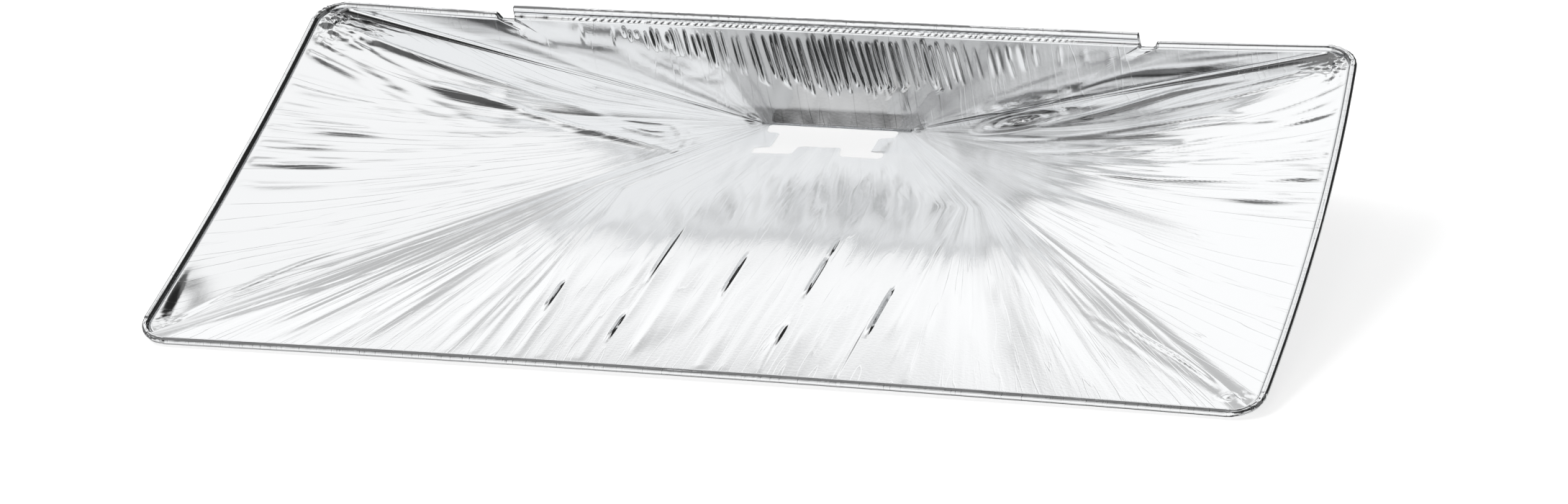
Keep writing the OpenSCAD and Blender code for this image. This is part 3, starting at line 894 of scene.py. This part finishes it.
# One seam runs along the roll, and wanders a little to both sides
seam = (row - 8.5 - 1.2 * wander(path / 45, 0 * path, 101)) / 0.8
tube = radius * (1 - pressed * step_up(row, 0, 3)) + crimp * np.sin(np.pi * row / BEAD_ROWS)
tube -= 0.22 * np.exp(-(seam**2))
away = tube * np.cos(PLAIN_TURN[row])
up = lift + tube * np.sin(PLAIN_TURN[row])
print("The roll's radius is", tube.min().round(2), "to", tube.max().round(2), "mm")

# %% Crimp the neck of the raised bead
# The crimps' spacing in millimetres. Near the neck's left end they give way to shallow scallops.
CRIMP_SPACING = 4.2
neck_row = np.minimum(row, NECK_ROWS - 1)
crimped = inside(path, -150, 140, 25.0)
phase = (path - 1.0 * neck_row) / CRIMP_SPACING + 0.35 * wander(path / 7, 0 * path, 97)
crest = np.clip(1.6 * np.abs(phase - np.floor(phase) - 0.5) + 0.1, 0, 1)
pleat = -1.1 * crimped * crest * CRIMP_ROWS[neck_row]
scallop = np.clip(wander(path / 5.0, 0 * path, 93) + 0.3, 0, 1)
pleat -= 0.8 * inside(path, -186, -150, 4.0) * scallop * CRIMP_ROWS[neck_row]
neck_out = NECK_START[0] + NECK_OUT[neck_row] + pleat
neck_up = NECK_START[1] + NECK_UP[neck_row]
print("The deepest crimp is", -pleat.min().round(2), "mm")

# %% Roll the raised bead, and join it to the plain one
# The row and the depth, in millimetres, of each seam that runs along the roll
SEAMS = [(3.6, 0.22), (6.5, 0.28), (9.5, 0.20)]
roll_row = np.clip(row - NECK_ROWS, 0, len(RAISED_TURN) - 1)
roll = 0.95 * ROLL_R - 0.10 * crimped * (1 + wander(path / 2.2, row / 3, 95))
for level, deep in SEAMS:
    seam = (roll_row - level - 0.7 * wander(path / 26, 0 * path + level, 99)) / 0.7
    roll = roll - deep * np.exp(-(seam**2))
ring_out = roll * np.cos(RAISED_TURN[roll_row])
ring_up = NECK_H + roll * np.sin(RAISED_TURN[roll_row])
raised = on_rear[column] * raised_share(path)
away = away * (1 - raised) + np.where(row < NECK_ROWS, neck_out, ring_out) * raised
up = up * (1 - raised) + np.where(row < NECK_ROWS, neck_up, ring_up) * raised
points = np.column_stack([centre + out * away[:, None], up])
foil_piece(mesh, points, np.stack([walked[column], row * 0.5], axis=1))

# %% [markdown]
# ## The drain outlet
# The outlet is cut through the front slope, right beside the valley. Two side tabs and a front
# tab stay in it. A thin sheet is cut most cleanly by a solid with the outlet's outline, so a
# cutter is raised from that outline and taken away from the slope.

# %% The outline of the outlet
# Its corners, seen from above, in millimetres
OUTLINE = [
    (-41.5, 150.5), (-41, 144), (-39, 141.6), (-33, 141), (-32, 139.5),
    (-32, 123), (-33.5, 121.5), (-39.5, 120.5), (-41.6, 118.5), (-41.8, 114.5),
    (-40, 112.6), (-19.5, 113.2), (-16.8, 114.5), (-15.6, 122.5), (-13.8, 124),
    (9.6, 124.6), (11.2, 123.2), (12.4, 115), (14.5, 113.2), (36, 112.4),
    (38.4, 114.4), (38.6, 119), (37, 120.8), (30.5, 121.8), (29.4, 123.5),
    (29.4, 139.6), (30.6, 141.2), (37, 142), (38.8, 143.6), (39, 150),
    (37.5, 151.6), (-40, 152),
]

# From where to where the cutter reaches, past the slope on both sides, in millimetres
CUT_LOW, CUT_HIGH = -95.0, -50.0
print("The outlet's outline has", len(OUTLINE), "corners")


# %% Cut the outlet
def outlet_cutter():
    """An upright solid with the outlet's outline, tall enough to pass through the slope."""
    shape = bmesh.new()
    outline = shape.faces.new([shape.verts.new((x, y, CUT_LOW)) for x, y in OUTLINE])
    raised = bmesh.ops.extrude_face_region(shape, geom=[outline], use_keep_orig=True)["geom"]
    corners = [part for part in raised if isinstance(part, bmesh.types.BMVert)]
    bmesh.ops.translate(shape, vec=(0, 0, CUT_HIGH - CUT_LOW), verts=corners)
    bmesh.ops.recalc_face_normals(shape, faces=shape.faces)
    mesh = to_mesh(shape, "outlet_cutter")
    mesh.vertices.foreach_set("co", on_table(places_of(mesh)).astype(np.float32).ravel())
    return add_object("outlet_cutter", mesh)


def cut_outlet(piece):
    """Cuts the outlet through a piece, and keeps the cut in its mesh."""
    cutter = outlet_cutter()
    cut = piece.modifiers.new("outlet", "BOOLEAN")
    cut.operation, cut.object, cut.solver = "DIFFERENCE", cutter, "EXACT"
    bpy.context.view_layer.update()
    depsgraph = bpy.context.evaluated_depsgraph_get()
    cut_mesh = bpy.data.meshes.new_from_object(piece.evaluated_get(depsgraph))
    piece.modifiers.clear()
    piece.data = cut_mesh
    cut_mesh.name = piece.name
    bpy.data.objects.remove(cutter)
    # The cut edges stay crisp, and the folds, which are less steep, stay smooth
    cut_mesh.set_sharp_from_angle(angle=math.radians(50))
    print(piece.name, "is cut and has", len(cut_mesh.polygons), "faces")


cut_outlet(front_slope)

# %% [markdown]
# ## The room
# A mirror shows the room, so the room is part of the finish. White screens stand behind the
# table and by the camera, and the rest of the room is dark. Each slope faces the middle of one
# screen: a small fold moves the reflection over the screen's fading edge, which gives the greys,
# and a steep one turns it to the dark room. A grey card hangs between the screens, and the soft
# bends beside the creases show it. Dim patches overhead, at the sides and below the horizon are
# there for the other views, where the sheet would otherwise be black. One large lamp at the left
# throws the pale shadow, and the foil doesn't mirror it.

# %% Soft screens in a dark room
# Each one: its direction round the table, from the rear towards the left, and its height above
# the horizon, both in degrees. Then the angle where it starts to fade, the angle where it ends,
# and how bright the screen is, or how much light the grey card takes away.
SCREENS = [
    # Behind the table
    ((3, 57), 6, 23, 1.04),
    ((20, 25.5), 10, 20, 1.12),
    ((37, 37), 7, 20, 1.10),
    # By the camera, and round it
    ((176, 18), 12, 38, 1.08),
    ((168, 2), 12, 26, 1.05),
    ((208, 4), 10, 26, 0.95),
    ((126, 4), 12, 28, 0.85),
    ((157, 46), 6, 16, 0.66),
    ((157, -32), 5, 28, 0.72),
    # Dim, overhead and at the sides
    ((0, 90), 4, 14, 0.10),
    ((90, 62), 14, 34, 0.22),
    ((-80, 62), 12, 30, 0.18),
    ((90, 15), 12, 28, 0.15),
    ((-90, 15), 12, 28, 0.15),
    # Dim, below the horizon, for the underside and the back of the wall
    ((0, -22), 16, 30, 0.60),
    ((48, -24), 14, 30, 0.55),
    ((-48, -24), 14, 30, 0.55),
    ((-23, -48), 22, 44, 0.60),
    ((80, -45), 20, 38, 0.55),
    ((-110, -45), 20, 38, 0.55),
]
GREY_CARDS = [((21, 34.5), 3, 8, 0.5)]
# How bright the rest of the room is
DARK = 0.02
print("The room has", len(SCREENS), "screens and", len(GREY_CARDS), "grey card")


# %% Hang the screens
def patch(tree, look, place, near, far, middle, edge):
    """A value that is middle round one direction, and fades to edge."""
    round_table, above = (math.radians(v) for v in place)
    level = math.cos(above)
    direction = (-level * math.sin(round_table), level * math.cos(round_table), math.sin(above))
    facing = node(tree, "ShaderNodeVectorMath", {0: look, 1: direction}, operation="DOT_PRODUCT")
    ends = {"From Min": math.cos(math.radians(far)), "From Max": math.cos(math.radians(near))}
    limits = {"Value": facing.outputs["Value"], **ends, "To Min": edge, "To Max": middle}
    fading = node(tree, "ShaderNodeMapRange", limits, interpolation_type="SMOOTHSTEP")
    return fading.outputs["Result"]


def light_room():
    """The studio's world: the brightest screen in each direction, dimmed by a card."""
    world = bpy.data.worlds.new("studio")
    bpy.context.scene.world = world
    world.use_nodes = True
    tree = world.node_tree
    tree.nodes.clear()
    look = node(tree, "ShaderNodeTexCoord").outputs["Generated"]
    light = DARK
    for place, near, far, power in SCREENS:
        screen = patch(tree, look, place, near, far, power, DARK)
        light = node(tree, "ShaderNodeMath", {0: light, 1: screen}, operation="MAXIMUM")
        light = light.outputs["Value"]
    for place, near, far, taken in GREY_CARDS:
        card = patch(tree, look, place, near, far, 1 - taken, 1.0)
        light = node(tree, "ShaderNodeMath", {0: light, 1: card}, operation="MULTIPLY")
        light = light.outputs["Value"]
    glow = node(tree, "ShaderNodeBackground", {"Color": light, "Strength": 1.0})
    node(tree, "ShaderNodeOutputWorld", {"Surface": glow.outputs["Background"]})
    return world


room = light_room()
print("Lit by", room.name, "with", len(room.node_tree.nodes), "nodes")

# %% The lamp
# Its place and the length of its sides, in metres, and its power in watts
LAMP_PLACE, LAMP_SIZE, LAMP_POWER = Vector((-1.9, 1.2, 1.5)), 1.8, 62
lamp_data = bpy.data.lights.new("left_lamp", "AREA")
lamp_data.shape, lamp_data.size, lamp_data.energy = "SQUARE", LAMP_SIZE, LAMP_POWER
lamp = add_object("left_lamp", lamp_data)
lamp.location = LAMP_PLACE
# A lamp shines down its own Z axis, which is turned towards the middle of the tray
lamp.rotation_euler = (-LAMP_PLACE).to_track_quat("-Z", "Y").to_euler()
lamp.visible_glossy = False
print(lamp.name, "is", round(LAMP_PLACE.length, 2), "m from the middle of the tray")

# Plain screen colours, so that a white surface stays white
bpy.context.scene.view_settings.view_transform = "Standard"

# %% [markdown]
# ## The table
# The liner lies on a white acrylic light table. It glows a little itself, so shadows stay faint,
# as in the photograph. Acrylic that is lit from below is a matt white, with no clear reflections.

# %% White acrylic table
# Half the table's width in metres, and how strongly it glows
TABLE_REACH, GLOW = 6.0, 0.66


def light_table():
    """A wide square table under the liner, which is stage and not part of it."""
    material = bpy.data.materials.new("white_acrylic")
    material.use_nodes = True
    shader = material.node_tree.nodes["Principled BSDF"]
    colours = {"Base Color": linear("#E8E8E8"), "Emission Color": linear("#FFFFFF")}
    for name, value in {**colours, "Roughness": 0.6, "Emission Strength": GLOW}.items():
        shader.inputs[name].default_value = value
    shape = bmesh.new()
    bmesh.ops.create_grid(shape, x_segments=2, y_segments=2, size=TABLE_REACH)
    mesh = to_mesh(shape, "table")
    mesh.materials.append(material)
    table = add_object("table", mesh)
    table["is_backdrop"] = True
    # The foil mirrors the room below the horizon instead of the glowing table
    table.visible_glossy = False
    return table


table = light_table()
print(table.name, "is", 2 * TABLE_REACH, "m wide")

# %% [markdown]
# ## The size
# The dressed model has to stay inside the CAD model's box, so both boxes are printed.

# %% Finish
low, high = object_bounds()
print("Visual box in mm:", [round(1000 * v, 1) for v in (*low, *high)])
